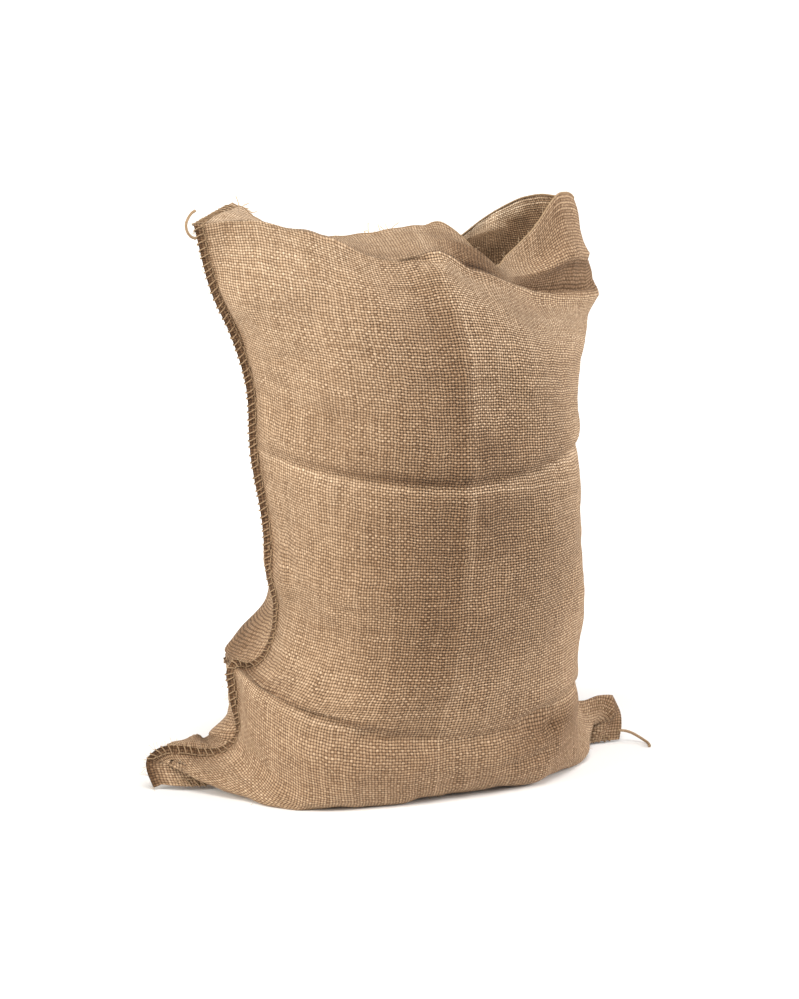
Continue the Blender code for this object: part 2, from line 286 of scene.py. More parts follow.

# Painted shade and highlights along creases and folds: how far it reaches below and above the
# line, and the change at each (station, level) along it
CREASE_SHADE_AND_LIGHT = (
    ((3, 10), (
        (4, 458, -0.1), (60, 461, -0.2), (112, 462, -0.3), (215, 464, -0.4), (262, 466, -0.4),
        (340, 475, -0.3), (408, 487, -0.25), (470, 490, 0),
    )),
    ((12, 3), (
        (4, 452, 0.06), (60, 455, 0.12), (112, 457, 0.16), (215, 458, 0.2), (262, 460, 0.28),
        (340, 468, 0.4), (408, 480, 0.36), (470, 485, 0.1),
    )),
    ((16, 1.5), ((506, 50, -0.2), (490, 32, -0.4), (472, 6, -0.4))),
    ((2, 5), (
        (10, 238, -0.4), (40, 234, -0.55), (112, 225, -0.55), (156, 215, -0.5), (200, 208, -0.3),
        (250, 205, -0.15), (310, 201, -0.1), (400, 216, 0),
    )),
    ((12, 3), (
        (20, 230, 0.05), (112, 220, 0.12), (200, 202, 0.1), (310, 196, 0.14), (400, 212, 0.14),
        (460, 214, 0),
    )),
    ((7, 7), (
        (262, 700, -0.1), (281, 708, -0.35), (301, 713, -0.5), (325, 712, -0.4), (345, 706, 0),
    )),
    ((3, 3), (
        (256, 200, 0.3), (256, 440, 0.3), (256, 470, 0.15), (257, 560, 0.3), (256, 700, 0.3),
    )),
    ((7, 7), ((200, 720, -0.1), (150, 712, -0.2), (90, 706, -0.12), (60, 703, 0))),
)

# Painted shade and light for stretches with clearer edges, such as the shaded tuck and inside and
# the lit rim inside the mouth: the stations and the levels between which they lie
SHADE_AND_LIGHT_BANDS = (
    ((262, 345), (708, 800), -0.2),
    ((350, 518), (704, 738), -0.42),
    ((526, 780), (700, 785), -0.44),
    ((606, 780), (769, 806), 0.62),
    ((575, 606), (779, 806), 0.45),
    ((545, 580), (790, 806), 0.1),
    ((500, 535), (785, 806), -0.3),
    ((-20, 60), (702, 806), 0.3),
)
BAND_EDGE_ACROSS = 14
BAND_EDGE_UP = 5

# Painted shade darkens the sewn edge, by how much and over what width; above this level it is
# less so
EDGE_SHADE = 0.76
EDGE_SHADE_WIDTH = 10
EDGE_PALER_FROM = 690
EDGE_PALER_OVER = 20
EDGE_PALER = 0.7

# Where the weave is slack, so that more of the painted dark in its holes shows: (station, level) of
# the middle, and how far it reaches across and up
SLACK_PATCHES = (((285, 450), (122, 250)), ((760, 420), (150, 290)))
SLACK_LEAST = 0.22
DENSE_EDGE = 14

# Pressed creases, painted as pale lines of highlight on the yarns: their places in mm, and half
# widths in yarns
PRESSED_STATION = 250
PRESSED_STATION_WIDTH = 1.1
PRESSED_LEVELS = ((455, 1.2), (208, 1.0))

# Free thread ends: where each leaves the sewing, its length and its route, in mm
TAILS = {
    "side_seam_tail": (
        (-197, -5, 545), 38,
        ((-197, -7, 546), (-202, -9, 548), (-206, -10, 553), (-207, -9, 560), (-204, -7, 566),
         (-200, -5, 570), (-196, -4, 572)),
    ),
    "bottom_seam_tail": (
        (243, -10, 13), 44,
        ((243, -12, 13.5), (250, -13, 12.5), (256, -15, 10.5), (262, -18, 7), (267, -22, 3.6),
         (269, -29, 1.9), (267, -37, 1.7)),
    ),
}

# Slow unevenness of the cloth: (wavelength, height) in mm, how many waves of each length cross,
# and the level below which it fades out
UNEVENNESS = ((170, 1.6), (75, 0.9), (34, 0.35))
WAVES = 14
EVEN_BELOW = 60

# Over this distance from the sewn edges, the cloth comes to move freely
EDGE_FADE = 22

# How sharply a crease's flanks fall away, and how round its line is in mm
CREASE_SHARPNESS = 1.6
CREASE_ROUNDING = 0.8

# The foot's two layers part between these levels
FOOT_PARTS_FROM = 12
FOOT_PARTS_OVER = 20

# Over what length the sewn edge's direction is taken, on the body and at the top crease, and
# how far into the sheet its inward direction there is taken
SEAM_SLOPE_OVER = 9
TOP_SLOPE_OVER = 60
TOP_INWARD_OVER = 60


def curve_through(keys, at):
    """Points of a smooth curve through (position, x, y, z) keys."""
    keys = np.array(keys, float)
    where, points = keys[:, 0], keys[:, 1:]
    gaps = np.diff(where)[:, None]
    slopes = np.diff(points, axis=0) / gaps
    tangents = np.concatenate([slopes[:1], slopes])
    tangents[1:-1] = (slopes[:-1] * gaps[1:] + slopes[1:] * gaps[:-1]) / (gaps[1:] + gaps[:-1])
    at = np.clip(np.asarray(at, float), where[0], where[-1])
    i = np.clip(np.searchsorted(where, at, side="right") - 1, 0, len(gaps) - 1)
    gap = gaps[i]
    u = (at - where[i])[:, None] / gap
    return (
        (2 * u**3 - 3 * u**2 + 1) * points[i]
        + (u**3 - 2 * u**2 + u) * gap * tangents[i]
        + (3 * u**2 - 2 * u**3) * points[i + 1]
        + (u**3 - u**2) * gap * tangents[i + 1]
    )


def unit(vectors):
    return vectors / np.maximum(np.linalg.norm(vectors, axis=-1, keepdims=True), 1e-9)


def value_at(pairs, at):
    return np.interp(at, [pair[0] for pair in pairs], [pair[1] for pair in pairs])


def smooth_step(share):
    share = np.clip(share, 0.0, 1.0)
    return share * share * (3 - 2 * share)


def quarter(side, middle, lean, fullness, rise):
    """A quarter of a section from its side to its middle, evenly spaced along its length."""
    corner = side + (middle - side) * lean
    corner[1] = middle[1]
    corner[2] = rise * side[2] + (1 - rise) * middle[2]
    u = np.linspace(0, 1, QUARTER_SAMPLES)[:, None]
    weights = (1 - u) ** 2, 2 * u * (1 - u) * fullness, u**2
    points = (weights[0] * side + weights[1] * corner + weights[2] * middle) / sum(weights)
    steps = np.linalg.norm(np.diff(points, axis=0), axis=1)
    lengths = np.concatenate([[0], np.cumsum(steps)])
    at = np.linspace(0, lengths[-1], COLUMNS_PER_QUARTER + 1)
    return np.stack([np.interp(at, lengths, points[:, axis]) for axis in range(3)], axis=1)


def seam_axes(level):
    """At the sewn edge: the direction into the cloth, and from its front to its back layer."""
    reach = max(level - SEAM_SLOPE_OVER, 0), min(level + SEAM_SLOPE_OVER, CREASE_LEVEL)
    ends = curve_through(SEWN_SIDE, reach)
    along = ends[1] - ends[0]
    inward = unit(np.array([along[2], 0, -along[0]]))
    backward = np.array([0, 1, 0])
    turn = math.radians(value_at(SEAM_TURN, level))
    return (
        inward * math.cos(turn) - backward * math.sin(turn),
        inward * math.sin(turn) + backward * math.cos(turn),
    )


def stations():
    """The station of each column, the two sewn edges included."""
    columns = 2 * COLUMNS_PER_QUARTER
    front = np.linspace(SEAM_WIDTH, FOLD_STATION - 1, columns + 1)
    back = np.linspace(FOLD_STATION + 1, SHEET_WIDTH - SEAM_WIDTH, columns + 1)
    return np.concatenate([[0], front, [FOLD_STATION], back, [SHEET_WIDTH]])


def body_ring(level):
    """One section of the cloth below the top crease, from the sewn edge round."""
    side, front, fold, back = (
        curve_through(keys, [level])[0]
        for keys in (SEWN_SIDE, FRONT_MIDDLE, FOLDED_SIDE, BACK_MIDDLE)
    )
    fullness = value_at(FULLNESS, level)
    front_left_lean = value_at(FRONT_LEFT_LEAN, level)
    back_left_lean = value_at(BACK_LEFT_LEAN, level)
    right_lean = value_at(RIGHT_LEAN, level)
    rise = value_at(CORNER_RISE, level)
    inward, through = seam_axes(level)
    root = side + inward * SEAM_WIDTH
    seam_half = through * HALF_SEAM
    half = np.array([0, HALF_SEAM, 0])
    spread = half * (1 - smooth_step((level - FOOT_PARTS_FROM) / FOOT_PARTS_OVER))
    return np.concatenate([
        [side - seam_half],
        quarter(root - seam_half, front - spread, front_left_lean, fullness, rise),
        quarter(fold - half, front - spread, right_lean, fullness, rise)[::-1][1:],
        [fold + np.array([HALF_SEAM, 0, 0])],
        quarter(fold + half, back + spread, right_lean, fullness, rise)[:-1],
        quarter(root + seam_half, back + spread, back_left_lean, fullness, rise)[::-1],
        [side + seam_half],
    ])


def upper_ring(keys, along_seam):
    """The top crease or the mouth edge, sampled at the same stations as a body ring."""
    ring = curve_through(keys, stations())
    tip = ring[0].copy()
    ends = curve_through(keys, [TOP_INWARD_OVER, SHEET_WIDTH - TOP_INWARD_OVER])
    inward = unit((ends[0] + ends[1]) / 2 - tip)
    across = unit(np.cross(along_seam, inward)) * HALF_SEAM
    ring[0], ring[-1] = tip - across, tip + across
    root = tip + inward * SEAM_WIDTH
    ring[1], ring[-2] = root - across, root + across
    return ring


def row_levels():
    """The level of each row of the sheet."""
    rows = round((SHEET_LENGTH - FIRST_ROW) / ROW_STEP) + 1
    return np.concatenate([[0], np.linspace(FIRST_ROW, SHEET_LENGTH, rows)])


def sheet_grid():
    """Every point of the cloth, as rows from the bottom edge to the mouth."""
    ends = curve_through(SEWN_SIDE, [CREASE_LEVEL - TOP_SLOPE_OVER, CREASE_LEVEL])
    below = unit(ends[1] - ends[0])
    above = unit(np.array(MOUTH_EDGE[0][1:], float) - ends[1])
    crease = upper_ring(TOP_CREASE, below + above)
    mouth = upper_ring(MOUTH_EDGE, above)
    lift = crease - body_ring(CREASE_LEVEL)
    rows = []
    for level in row_levels():
        if level <= CREASE_LEVEL:
            share = (level - BLEND_FROM) / (CREASE_LEVEL - BLEND_FROM)
            rows.append(body_ring(level) + lift * smooth_step(share))
        else:
            share = (level - CREASE_LEVEL) / (SHEET_LENGTH - CREASE_LEVEL)
            rows.append(crease * (1 - share) + mouth * share)
    return np.array(rows)


def grid_normals(grid):
    """Outward normals of a grid of points that runs round a closed ring."""
    along = np.gradient(grid, axis=0)
    around = np.gradient(grid, axis=1)
    return unit(np.cross(around, along))


def layer_fade(across):
    """0 at the sewn edges, where the two layers are held together, and 1 further in."""
    return smooth_step(np.minimum(across, SHEET_WIDTH - across) / EDGE_FADE)


def bulged(grid, across, up):
    """The sheet with its bulges."""
    for (station, level), (reach_across, reach_up), move in BULGES:
        apart = np.abs(across - station)
        apart = np.minimum(apart, SHEET_WIDTH - apart)
        share = np.exp(-((apart / reach_across) ** 2) - ((up - level) / reach_up) ** 2)
        share *= layer_fade(across)
        grid = grid + share[..., None] * np.array(move, float)
    return grid


def crease_shift(across, up, reaches, line):
    """How far a crease moves each point of the sheet along its normal, and upwards."""
    nearest = np.full(across.shape, np.inf)
    side, out, rise = np.zeros((3, *across.shape))
    for (x0, y0, out0, rise0), (x1, y1, out1, rise1) in zip(line, line[1:]):
        run_x, run_y = x1 - x0, y1 - y0
        share = ((across - x0) * run_x + (up - y0) * run_y) / (run_x**2 + run_y**2)
        share = np.clip(share, 0, 1)
        off_x, off_y = across - x0 - share * run_x, up - y0 - share * run_y
        apart = np.hypot(off_x, off_y)
        closer = apart < nearest
        nearest = np.where(closer, apart, nearest)
        side = np.where(closer, (run_x * off_y - run_y * off_x) * np.sign(run_x or 1), side)
        out = np.where(closer, out0 + share * (out1 - out0), out)
        rise = np.where(closer, rise0 + share * (rise1 - rise0), rise)
    reach = np.where(side > 0, reaches[1], reaches[0])
    fall = np.exp(-np.hypot(nearest, CREASE_ROUNDING) / reach * CREASE_SHARPNESS)
    return out * fall, rise * fall


def unevenness(across, up):
    """Gentle waves of several lengths in all directions, the same at each run."""
    chance = np.random.default_rng(7)
    total = np.zeros(across.shape)
    for wavelength, height in UNEVENNESS:
        for _ in range(WAVES):
            angle, phase = chance.uniform(0, 2 * np.pi, 2)
            turns = chance.uniform(0.7, 1.4) / wavelength
            along = across * np.cos(angle) + up * np.sin(angle)
            total += height * np.sqrt(2 / WAVES) * np.sin(2 * np.pi * along * turns + phase)
    return total


def worn_grid(grid):
    """The sheet with its bulges, creases and unevenness."""
    across, up = np.meshgrid(stations(), row_levels())
    grid = bulged(grid, across, up)
    normals = grid_normals(grid)
    out = unevenness(across, up) * smooth_step(up / EVEN_BELOW)
    rise = np.zeros(across.shape)
    for reaches, line in CREASES:
        moved, raised = crease_shift(across, up, reaches, line)
        out = out + moved
        rise = rise + raised
    fade = layer_fade(across)
    grid = grid + normals * (out * fade)[..., None]
    grid[..., 2] += rise * fade
    grid[..., 2] = np.maximum(grid[..., 2], FLOOR_GAP)
    return grid


def sheet_faces(rows, columns):
    """The four corners of each face of a grid of points, by their numbers."""
    faces = []
    for row in range(rows - 1):
        for column in range(columns - 1):
            first = row * columns + column
            faces.append((first, first + 1, first + columns + 1, first + columns))
    return faces


def mesh_object(name, points, faces, surface):
    """A smooth mesh from points in mm."""
    mesh = bpy.data.meshes.new(name)
    mesh.from_pydata((np.asarray(points).reshape(-1, 3) * MM).tolist(), [], faces)
    mesh.update()
    made = bpy.data.objects.new(name, mesh)
    bpy.context.scene.collection.objects.link(made)
    mesh.materials.append(surface)
    mesh.polygons.foreach_set("use_smooth", [True] * len(mesh.polygons))
    return made


class Shader:
    """A node tree's sums, written short."""

    def __init__(self, name):
        self.material = bpy.data.materials.new(name)
        self.material.use_nodes = True
        self.tree = self.material.node_tree
        self.surface = self.tree.nodes["Principled BSDF"]

    def link(self, value, socket):
        if isinstance(value, (int, float)):
            socket.default_value = value
        elif isinstance(value, tuple):
            socket.default_value = (*value, 1.0)[: len(socket.default_value)]
        else:
            self.tree.links.new(value, socket)

    def do(self, operation, *values):
        node = self.tree.nodes.new("ShaderNodeMath")
        node.operation = operation
        for value, socket in zip(values, node.inputs):
            self.link(value, socket)
        return node.outputs[0]

    def add(self, a, b):
        return self.do("ADD", a, b)

    def times(self, a, b):
        return self.do("MULTIPLY", a, b)

    def joined(self, x, y, z=0.0):
        node = self.tree.nodes.new("ShaderNodeCombineXYZ")
        for value, socket in zip((x, y, z), node.inputs):
            self.link(value, socket)
        return node.outputs[0]

    def noise(self, vector, scale, detail=2.0, centred=False):
        node = self.tree.nodes.new("ShaderNodeTexNoise")
        self.link(vector, node.inputs["Vector"])
        node.inputs["Scale"].default_value = scale
        node.inputs["Detail"].default_value = detail
        value = node.outputs["Fac"]
        return self.add(value, -0.5) if centred else value

    def random(self, vector):
        node = self.tree.nodes.new("ShaderNodeTexWhiteNoise")
        node.noise_dimensions = "3D"
        self.link(vector, node.inputs["Vector"])
        return node.outputs["Value"]

    def between(self, share, a, b):
        node = self.tree.nodes.new("ShaderNodeMix")
        node.data_type = "RGBA"
        self.link(share, node.inputs["Factor"])
        self.link(a, node.inputs["A"])
        self.link(b, node.inputs["B"])
        return node.outputs["Result"]

    def scaled(self, colour, value, powers):
        """The colour, brighter or darker by a value that acts on each channel to its own power."""
        node = self.tree.nodes.new("ShaderNodeMix")
        node.data_type = "RGBA"
        node.blend_type = "MULTIPLY"
        node.inputs["Factor"].default_value = 1.0
        self.link(colour, node.inputs["A"])
        joined = self.tree.nodes.new("ShaderNodeCombineColor")
        for power, socket in zip(powers, joined.inputs):
            self.link(self.do("POWER", value, power), socket)
        self.link(joined.outputs[0], node.inputs["B"])
        return node.outputs["Result"]


# The yarns from the top of a crossing down to the gaps between them: the crown in its own colour,
# then painted shade that deepens towards the gaps, and in the holes the painted dark of the
# bag's shaded inside
CROWN = (0.55, 0.385, 0.247)
YARN = (0.272, 0.17, 0.1)
SHADED_YARN = (0.10, 0.055, 0.029)
HOLE_SHADE = (0.02, 0.011, 0.006)

# How strongly a yarn's darkness, painted shade included, acts on red, green and blue: the darker,
# the warmer
WARMTH = (1.0, 1.2, 1.4)

# How much darker the warp is than the weft, and the slackness that a dense weave counts as
WARP_DARKER = 0.32
LEAST_CONTRAST = 0.3

# A yarn's radius as a share of the pitch, how much of it slack weave loses, and its slubs
YARN_RADIUS = 0.475
SLACK_LOSS = 0.16
SLUBS = 0.3

# How far yarns wander to the side, in pitches, and how far they rise at each crossing
SWAY = 1.5
CROSSING_RISE = 0.75

# The height given to the gaps, and the one below which the cloth shows as a hole
GAP_DROP = 5.0
HOLE_BELOW = -2.0

# How much each kind of marking changes a yarn's brightness; the pressed creases' pale lines are
# a painted highlight
STRIPES = 0.22
KNOTS = 0.3
BLOTCHES = 0.35
HAIRS = 0.9
PRESSED_HIGHLIGHT = 0.25
DARKEST = 0.05

THREAD_PALE = (0.48, 0.34, 0.21)
THREAD_DEEP = (0.2, 0.125, 0.07)
FIBRE_PALE = (0.74, 0.58, 0.4)
FIBRE_DEEP = (0.56, 0.4, 0.25)


def sheet_place(s):
    """The place on the sheet, counted in yarns each way, with the yarns' small wanderings."""
    uv = s.tree.nodes.new("ShaderNodeUVMap")
    uv.uv_map = "sheet"
    parts = s.tree.nodes.new("ShaderNodeSeparateXYZ")
    s.link(uv.outputs[0], parts.inputs[0])
    x, y = parts.outputs[0], parts.outputs[1]
    sway_x = s.noise(s.joined(s.times(x, 0.05), s.times(y, 0.16), 3.0), 1.0, 3.0, True)
    sway_y = s.noise(s.joined(s.times(x, 0.16), s.times(y, 0.05), 9.0), 1.0, 3.0, True)
    return s.add(x, s.times(sway_x, SWAY)), s.add(y, s.times(sway_y, SWAY)), x, y


def painted(s, name):
    """A value that the mesh holds at each of its points."""
    node = s.tree.nodes.new("ShaderNodeAttribute")
    node.attribute_name = name
    return node.outputs["Fac"]


def yarn_height(s, across, along, wave, radius, key):
    """A yarn's number, and the height of its rounded, uneven back, or far down beside it."""
    number = s.do("FLOOR", across)
    place = s.add(s.do("FRACT", across), -0.5)
    slub = s.noise(s.joined(s.times(along, 0.22), s.times(number, 3.7), key), 1.0, 2.0, True)
    ratio = s.do("DIVIDE", place, s.add(radius, s.times(slub, SLUBS)))
    dome = s.add(1.0, s.times(s.times(ratio, ratio), -1.0))
    inside = s.do("GREATER_THAN", dome, 0.0)
    height = s.add(s.times(wave, CROSSING_RISE), s.do("SQRT", s.do("MAXIMUM", dome, 0.0)))
    return number, s.add(height, s.times(s.add(inside, -1.0), GAP_DROP))


def weave(s, x, y, radius):
    """Plain weave: the upper yarn's height, whether it is the warp, and both yarns' numbers."""
    warp, weft = s.do("FLOOR", x), s.do("FLOOR", y)
    parity = s.add(1.0, s.times(s.do("PINGPONG", s.add(warp, weft), 1.0), -2.0))
    across_weft = s.do("COSINE", s.times(s.add(s.do("FRACT", y), -0.5), math.pi))
    across_warp = s.do("COSINE", s.times(s.add(s.do("FRACT", x), -0.5), math.pi))
    warp_wave = s.times(across_weft, parity)
    weft_wave = s.times(s.times(across_warp, parity), -1.0)
    warp, warp_height = yarn_height(s, x, y, warp_wave, radius, 1.0)
    weft, weft_height = yarn_height(s, y, x, weft_wave, radius, 5.0)
    top = s.do("MAXIMUM", warp_height, weft_height)
    return top, s.do("GREATER_THAN", warp_height, weft_height), warp, weft


def clamped(s, value):
    """The value, kept between 0 and 1."""
    return s.do("MINIMUM", s.do("MAXIMUM", value, 0.0), 1.0)


def pressed_line(s, place, middle, half_width):
    """1 on a pressed crease of the sheet, fading to 0 beside it."""
    apart = s.do("ABSOLUTE", s.add(place, -middle))
    return clamped(s, s.add(1.0, s.times(apart, -1.0 / half_width)))


def pressed_lines(s, x, y):
    """1 on the pressed creases along and across the sheet, where their painted highlight lies."""
    lines = pressed_line(s, x, PRESSED_STATION / WARP_PITCH, PRESSED_STATION_WIDTH)
    for level, half_width in PRESSED_LEVELS:
        lines = s.do("MAXIMUM", lines, pressed_line(s, y, level / WEFT_PITCH, half_width))
    return lines


def cloth_material():
    """Light jute hessian: an open plain weave of uneven single yarns, with painted shade in the
    gaps.
    """
    s = Shader("jute_cloth")
    x, y, even_x, even_y = sheet_place(s)
    radius = s.add(YARN_RADIUS, s.times(painted(s, "openness"), -SLACK_LOSS))
    top, warp_on_top, warp, weft = weave(s, x, y, radius)
    weft_on_top = s.add(1.0, s.times(warp_on_top, -1.0))
    fibre = s.noise(s.joined(s.times(x, 1.0), s.times(y, 1.0), 0.0), 2.6, 4.0, True)
    knot = s.add(s.random(s.joined(warp, weft, 2.0)), -0.5)
    warp_tone = s.noise(s.joined(s.times(warp, 5.3), s.times(y, 0.03), 1.0), 1.0, 1.0, True)
    weft_tone = s.noise(s.joined(s.times(x, 0.03), s.times(weft, 5.3), 4.0), 1.0, 1.0, True)
    tone = s.add(s.times(warp_tone, warp_on_top), s.times(weft_tone, weft_on_top))
    blotch = s.noise(s.joined(s.times(x, 0.035), s.times(y, 0.035), 0.0), 1.0, 3.0, True)
    # Painted shade: the yarns darken from their crowns down towards the gaps
    rise = clamped(s, s.times(s.add(top, -0.1), 0.62))
    colour = s.between(clamped(s, s.times(rise, 2.0)), SHADED_YARN, YARN)
    colour = s.between(clamped(s, s.add(s.times(rise, 2.0), -1.0)), colour, CROWN)
    # Painted highlight along the pressed creases
    lines = pressed_lines(s, even_x, even_y)
    depth = s.times(s.add(painted(s, "openness"), LEAST_CONTRAST), -WARP_DARKER)
    shade = s.add(s.add(1.0, tone), s.times(s.add(warp_on_top, -0.5), depth))
    past_selvedge = s.add(even_y, -SELVEDGE_FROM / WEFT_PITCH)
    selvedge = clamped(s, s.times(past_selvedge, 1.0 / SELVEDGE_STRIPES_OVER))
    stripes = s.times(s.do("SINE", s.times(even_y, math.pi)), selvedge)
    markings = (
        (stripes, STRIPES), (knot, KNOTS), (blotch, BLOTCHES), (fibre, HAIRS), (lines, PRESSED_HIGHLIGHT),
    )
    for value, weight in markings:
        shade = s.add(shade, s.times(value, weight))
    # The mesh's tone carries the painted shade and light of the folds, creases, mouth and sewn edge
    brightness = s.do("MAXIMUM", s.times(shade, painted(s, "tone")), DARKEST)
    colour = s.scaled(colour, brightness, WARMTH)
    # Painted shade: the holes show the dark of the bag's shaded inside
    colour = s.between(s.do("LESS_THAN", top, HOLE_BELOW), colour, HOLE_SHADE)
    s.link(colour, s.surface.inputs["Base Color"])
    s.surface.inputs["Roughness"].default_value = 0.95
    s.surface.inputs["Specular IOR Level"].default_value = 0.12
    s.surface.inputs["Sheen Weight"].default_value = 0.12
    s.surface.inputs["Sheen Roughness"].default_value = 0.6
    s.surface.inputs["Sheen Tint"].default_value = (1.0, 0.86, 0.7, 1.0)
    bump = s.tree.nodes.new("ShaderNodeBump")
    bump.inputs["Strength"].default_value = 0.9
    bump.inputs["Distance"].default_value = 0.0008
    height = s.add(s.do("MAXIMUM", top, -0.6), s.times(fibre, 0.6))
    s.link(height, bump.inputs["Height"])
    s.link(bump.outputs[0], s.surface.inputs["Normal"])
    return s.material


def thread_material(name, pale, deep):
    """Loosely twisted jute thread."""
    s = Shader(name)
    place = s.tree.nodes.new("ShaderNodeNewGeometry").outputs["Position"]
    speckle = s.noise(place, 900.0, 3.0)
    colour = s.between(speckle, pale, deep)
    s.link(colour, s.surface.inputs["Base Color"])
    s.surface.inputs["Roughness"].default_value = 0.9
    s.surface.inputs["Specular IOR Level"].default_value = 0.15
    bump = s.tree.nodes.new("ShaderNodeBump")
    bump.inputs["Strength"].default_value = 0.5
    bump.inputs["Distance"].default_value = 0.0003
    s.link(speckle, bump.inputs["Height"])
    s.link(bump.outputs[0], s.surface.inputs["Normal"])
    return s.material


def add_cloth(grid):
    """The sheet itself, with its slackness and its tone, painted shade and light, held at its
    points.
    """
    rows, columns = grid.shape[:2]
    cloth = mesh_object("cloth", grid, sheet_faces(rows, columns), cloth_material())
    mesh = cloth.data
    across, up = np.meshgrid(stations(), row_levels())
    flat = np.stack([across / WARP_PITCH, up / WEFT_PITCH], axis=-1).reshape(-1, 2)
    corners = np.empty(len(mesh.loops), int)
    mesh.loops.foreach_get("vertex_index", corners)
    mesh.uv_layers.new(name="sheet").data.foreach_set("uv", flat[corners].ravel())
    for name, values in (("openness", open_weave(across, up)), ("tone", tone_with_painted_light(across, up))):
        painted_on = mesh.attributes.new(name, "FLOAT", "POINT")
        painted_on.data.foreach_set("value", values.ravel().astype(np.float32))
    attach(cloth, "root")
    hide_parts("sack_cloth")
    return cloth


def open_weave(across, up):
    """How slack the weave is, from 0 at the edges, where it is dense, to 1."""
    edges = smooth_step((SHEET_LENGTH - up) / DENSE_EDGE) * smooth_step(up / DENSE_EDGE)
    slack = np.zeros(across.shape)
    for (station, level), (reach_across, reach_up) in SLACK_PATCHES:
        share = np.exp(-(((across - station) / reach_across) ** 4) - ((up - level) / reach_up) ** 4)
        slack = np.maximum(slack, share)
    return (SLACK_LEAST + (1 - SLACK_LEAST) * slack) * edges


def tone_with_painted_light(across, up):
    """Painted shade and light on the yarns, the sewn edge's shade included."""
    tone = np.ones(across.shape)
    for (station, level), (reach_across, reach_up), change in PAINTED_SHADE_AND_LIGHT:
        share = np.exp(-(((across - station) / reach_across) ** 2) - ((up - level) / reach_up) ** 2)
        tone += change * share
    for (left, right), (low, high), change in SHADE_AND_LIGHT_BANDS:
        inside = np.minimum(across - left, right - across), np.minimum(up - low, high - up)
        share = smooth_step(inside[0] / BAND_EDGE_ACROSS + 0.5)
        tone += change * share * smooth_step(inside[1] / BAND_EDGE_UP + 0.5)
    for (station, level), (reach_across, reach_up), change in FLANK_SHADE_AND_LIGHT:
        apart = (across - station) / reach_across
        share = np.exp(-(apart**2) - ((up - level) / reach_up) ** 2)
        tone += change * share * smooth_step(apart * abs(reach_across) / FLANK_EDGE + 0.5)
    for reaches, line in CREASE_SHADE_AND_LIGHT:
        tone += crease_shift(across, up, reaches, [(*key, 0) for key in line])[0]
    # Painted shade along the sewn edges
    side = np.exp(-((np.minimum(across, SHEET_WIDTH - across) / EDGE_SHADE_WIDTH) ** 2))
    side *= 1 - EDGE_PALER * smooth_step((up - EDGE_PALER_FROM) / EDGE_PALER_OVER)
    return tone * (1 - EDGE_SHADE * side)


def seam_frame(front_tip, back_tip, front_root, back_root):
    """Along a doubled edge: its middle line, the way into the cloth and the way to the back."""
    edge = (front_tip + back_tip) / 2
    return edge, unit((front_root + back_root) / 2 - edge), unit(back_tip - front_tip)


def thread_curve(name, paths, diameter, surface, resolution=2):
    """Round threads along paths in mm, as one piece."""
    data = bpy.data.curves.new(name, "CURVE")
    data.dimensions = "3D"
    data.bevel_depth = diameter * MM / 2
    data.bevel_resolution = resolution
    data.use_fill_caps = True
    for path in paths:
        spline = data.splines.new("POLY")
        spline.points.add(len(path) - 1)
        coordinates = np.column_stack([np.asarray(path) * MM, np.ones(len(path))])
        spline.points.foreach_set("co", coordinates.ravel())
    made = bpy.data.objects.new(name, data)
    bpy.context.scene.collection.objects.link(made)
    data.materials.append(surface)
    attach(made, "root")
    return made


# One stitch of each thread: (share of the pitch, depth from the edge in mm, side in mm). The
# depths are scaled by STITCH_DEPTH_SCALE, and negative sides lie on the front
OVERCAST_STITCH = (
    (0.0, 8.6, -1.5), (0.05, 8.2, -2.0), (-0.1, 6.0, -2.4), (-0.25, 3.5, -2.5), (-0.4, 1.0, -2.3),
    (-0.47, -0.6, -1.5), (-0.49, -1.3, 0.0), (-0.45, -0.6, 1.5), (-0.35, 1.5, 2.2),
    (-0.1, 4.5, 2.4), (0.2, 7.8, 2.1), (0.3, 8.6, 1.2), (0.6, 8.7, 0.0),
)
RUNNING_STITCH = (
    (0.0, 8.3, 0.0), (0.08, 8.4, -1.4), (0.2, 8.6, -2.1), (0.5, 8.7, -2.3), (0.7, 8.6, -2.1),
    (0.8, 8.4, -1.4), (0.9, 8.3, 0.0),
)


def stitched_path(edge, inward, across, stitch):
    """A thread that repeats one stitch along a doubled edge, a little unevenly."""
    steps = np.linalg.norm(np.diff(edge, axis=0), axis=1)
    length = np.concatenate([[0], np.cumsum(steps)])
    chance = np.random.default_rng(3)
    places = []
    for i in range(1, int(length[-1] / STITCH_PITCH)):
        slip, reach = chance.normal(size=2) * STITCH_UNEVENNESS
        for share, depth, side in stitch:
            place = (i + slip + share * (1 + reach)) * STITCH_PITCH
            places.append((place, depth * (STITCH_DEPTH_SCALE + reach), side))
    at = np.array(places)
    base, way, side = (
        np.stack([np.interp(at[:, 0], length, field[:, axis]) for axis in range(3)], axis=1)
        for field in (edge, inward, across)
    )
    path = base + way * at[:, 1:2] + side * at[:, 2:3]
    path[:, 2] = np.maximum(path[:, 2], FLOOR_GAP + STITCH_DIAMETER / 2)
    return path


def add_seam(prefix, doubled_edge, surface):
    """One thread wrapped over a doubled edge, and one that runs along beside it."""
    threads = []
    for kind, stitch in (("looper", OVERCAST_STITCH), ("needle", RUNNING_STITCH)):
        path = stitched_path(*doubled_edge, stitch)
        thread = thread_curve(prefix + "_" + kind, [path], STITCH_DIAMETER, surface, 1)
        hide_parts(prefix + "_" + kind + "_thread")
        threads.append(thread)
    return threads


